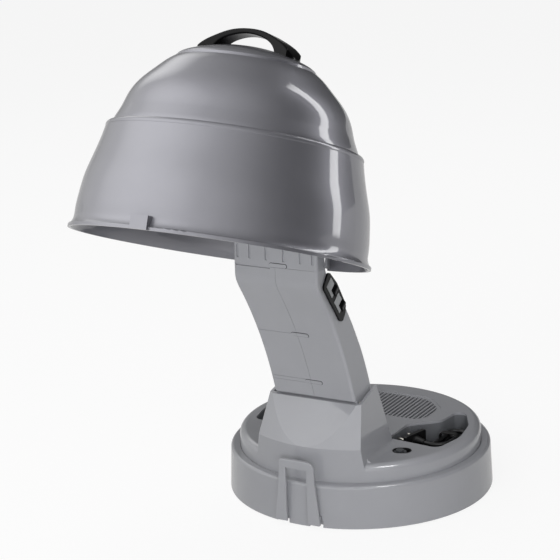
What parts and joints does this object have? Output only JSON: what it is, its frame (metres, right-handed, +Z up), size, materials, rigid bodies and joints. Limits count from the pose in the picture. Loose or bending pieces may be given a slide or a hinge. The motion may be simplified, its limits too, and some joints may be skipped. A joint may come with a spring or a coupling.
{
  "type": "hood hair dryer",
  "caption": "Table-top hood hair dryer with a tilted round hood on a curved folding arm, a round base with cord wells, a front clasp, a carrying handle and rocker switches.",
  "frame": {"origin": "middle of the base, on the surface that the dryer stands on", "axes": "+X to the right as seen from the front, -Y to the front, +Z up"},
  "size_m": [0.34, 0.6618, 0.6286],
  "materials": {
    "hood_silver": "gloss",
    "base_grey": "gloss",
    "arm_grey": "gloss",
    "well_grey": "satin",
    "black_gloss": "gloss",
    "black_matte": "matte",
    "foot_rubber": "matte",
    "zinc_steel": "satin",
    "filter_mesh": "matte",
    "motor_metal": "satin",
    "pale_plastic": "matte",
    "switch_grey": "satin",
    "mica": "matte",
    "heater_wire": "satin",
    "label_grey": "matte",
    "cord_black": "satin",
    "nickel_brass": "polished"
  },
  "bodies": {
    "base": {"base_drum": "base_grey", "bottom_plate": "black_matte", "rubber_feet": "foot_rubber", "base_screws": "zinc_steel", "top_cover": "base_grey", "cord_well_right": "well_grey", "cord_well_left": "well_grey", "intake_grille": "base_grey", "intake_filter": "filter_mesh", "blower_lower": "black_matte", "blower_upper": "black_matte", "motor": "motor_metal", "base_duct": "black_matte", "terminal_block": "pale_plastic", "relay_box": "black_matte", "release_lining": "black_matte", "release_guide": "black_matte", "clasp_pin": "zinc_steel", "arm_pivot_pins": "zinc_steel", "arm_washers": "pale_plastic", "cord_hank": "cord_black", "cord_lead": "cord_black", "cord_gland": "cord_black", "cord_tail": "cord_black", "plug_body": "cord_black", "plug_pins": "nickel_brass"},
    "arm": {"arm_head": "arm_grey", "arm_left_shell": "arm_grey", "arm_right_shell": "arm_grey", "arm_screws": "zinc_steel", "heater_frame": "mica", "heater_coil": "heater_wire", "thermostat": "motor_metal", "thermal_fuse": "pale_plastic", "ioniser_module": "black_matte", "switch_bezel": "black_gloss", "switch_labels": "label_grey"},
    "hood": {"hood_skirt": "hood_silver", "hood_dome": "hood_silver", "crown_cap": "hood_silver", "carry_handle": "black_gloss", "handle_screws": "zinc_steel", "hood_brackets": "arm_grey", "hood_hinge_pins": "zinc_steel", "hood_washers": "pale_plastic"},
    "clasp": {"front_clasp": "base_grey"},
    "fan": {"impeller": "black_matte"},
    "heat_rocker": {"heat_switch": "black_gloss"},
    "speed_rocker": {"speed_switch": "black_gloss"},
    "release": {"release_slide": "switch_grey"}
  },
  "joints": [
    {"name": "arm_fold", "type": "hinge", "parent": "base", "child": "arm", "pos_m": [0, -0.10618, 0.14], "axis": [-1, 0, 0], "range_deg": [0, 122.78]},
    {"name": "hood_tilt", "type": "hinge", "parent": "arm", "child": "hood", "pos_m": [0, -0.19273, 0.37231], "axis": [1, 0, 0], "range_deg": [0, 144.23]},
    {"name": "clasp_swing", "type": "hinge", "parent": "base", "child": "clasp", "pos_m": [0, -0.1665, 0.013], "axis": [1, 0, 0], "range_deg": [0, 75]},
    {"name": "fan_spin", "type": "hinge", "parent": "base", "child": "fan", "pos_m": [0, 0.05, 0.042], "axis": [0, 0, 1], "continuous": true},
    {"name": "heat_press", "type": "hinge", "parent": "arm", "child": "heat_rocker", "pos_m": [0.0575, -0.16958, 0.30944], "axis": [0, 0.8, 0.6], "range_deg": [-7, 7]},
    {"name": "speed_press", "type": "hinge", "parent": "arm", "child": "speed_rocker", "pos_m": [0.0575, -0.15188, 0.28584], "axis": [0, 0.8, 0.6], "range_deg": [-7, 7]},
    {"name": "release_travel", "type": "slide", "parent": "base", "child": "release", "axis": [0.9135, 0.4067, 0], "range_m": [0, 0.005]}
  ],
  "couplings": [
    {"joint": "hood_tilt", "follows": "arm_fold", "ratio": 1.1743}
  ]
}
